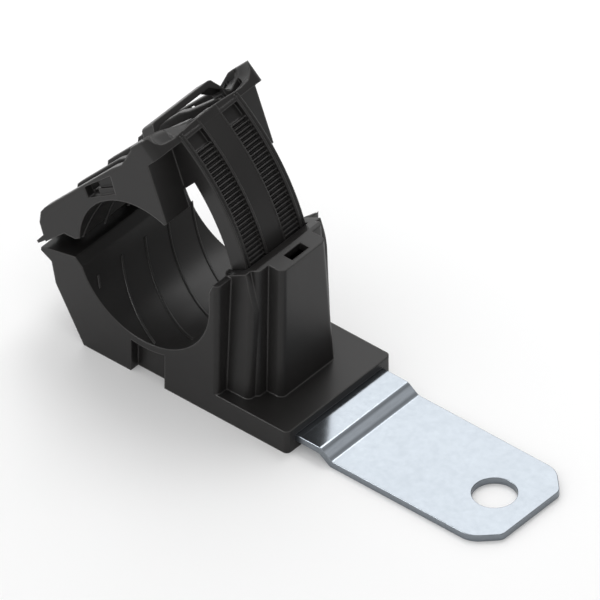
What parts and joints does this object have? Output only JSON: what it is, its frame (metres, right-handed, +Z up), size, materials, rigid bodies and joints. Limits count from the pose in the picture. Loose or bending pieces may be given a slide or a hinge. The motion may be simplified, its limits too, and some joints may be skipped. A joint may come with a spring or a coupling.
{
  "type": "ratchet p-clamp",
  "caption": "Hinged black plastic cable clamp with a toothed ratchet strap, a stepped catch column and a cranked steel mounting plate with one bolt hole.",
  "frame": {"origin": "centre of the plate's bolt hole, on the plate's underside", "axes": "+Z up and along the bolt hole, +X along the plate away from the clamp, Y along the bundle"},
  "size_m": [0.1068, 0.0304, 0.057],
  "materials": {
    "nylon": "satin moulded, fine grain",
    "zinc_steel": "bright zinc plate, satin"
  },
  "bodies": {
    "base": {"clamp_base": "nylon", "mounting_plate": "zinc_steel"},
    "jaw": {"ratchet_jaw": "nylon"}
  },
  "joints": [
    {"name": "jaw_hinge", "type": "hinge", "parent": "base", "child": "jaw", "pos_m": [-0.0952, 0, 0.0183], "axis": [0, -1, 0], "range_deg": [-25, 60]}
  ]
}
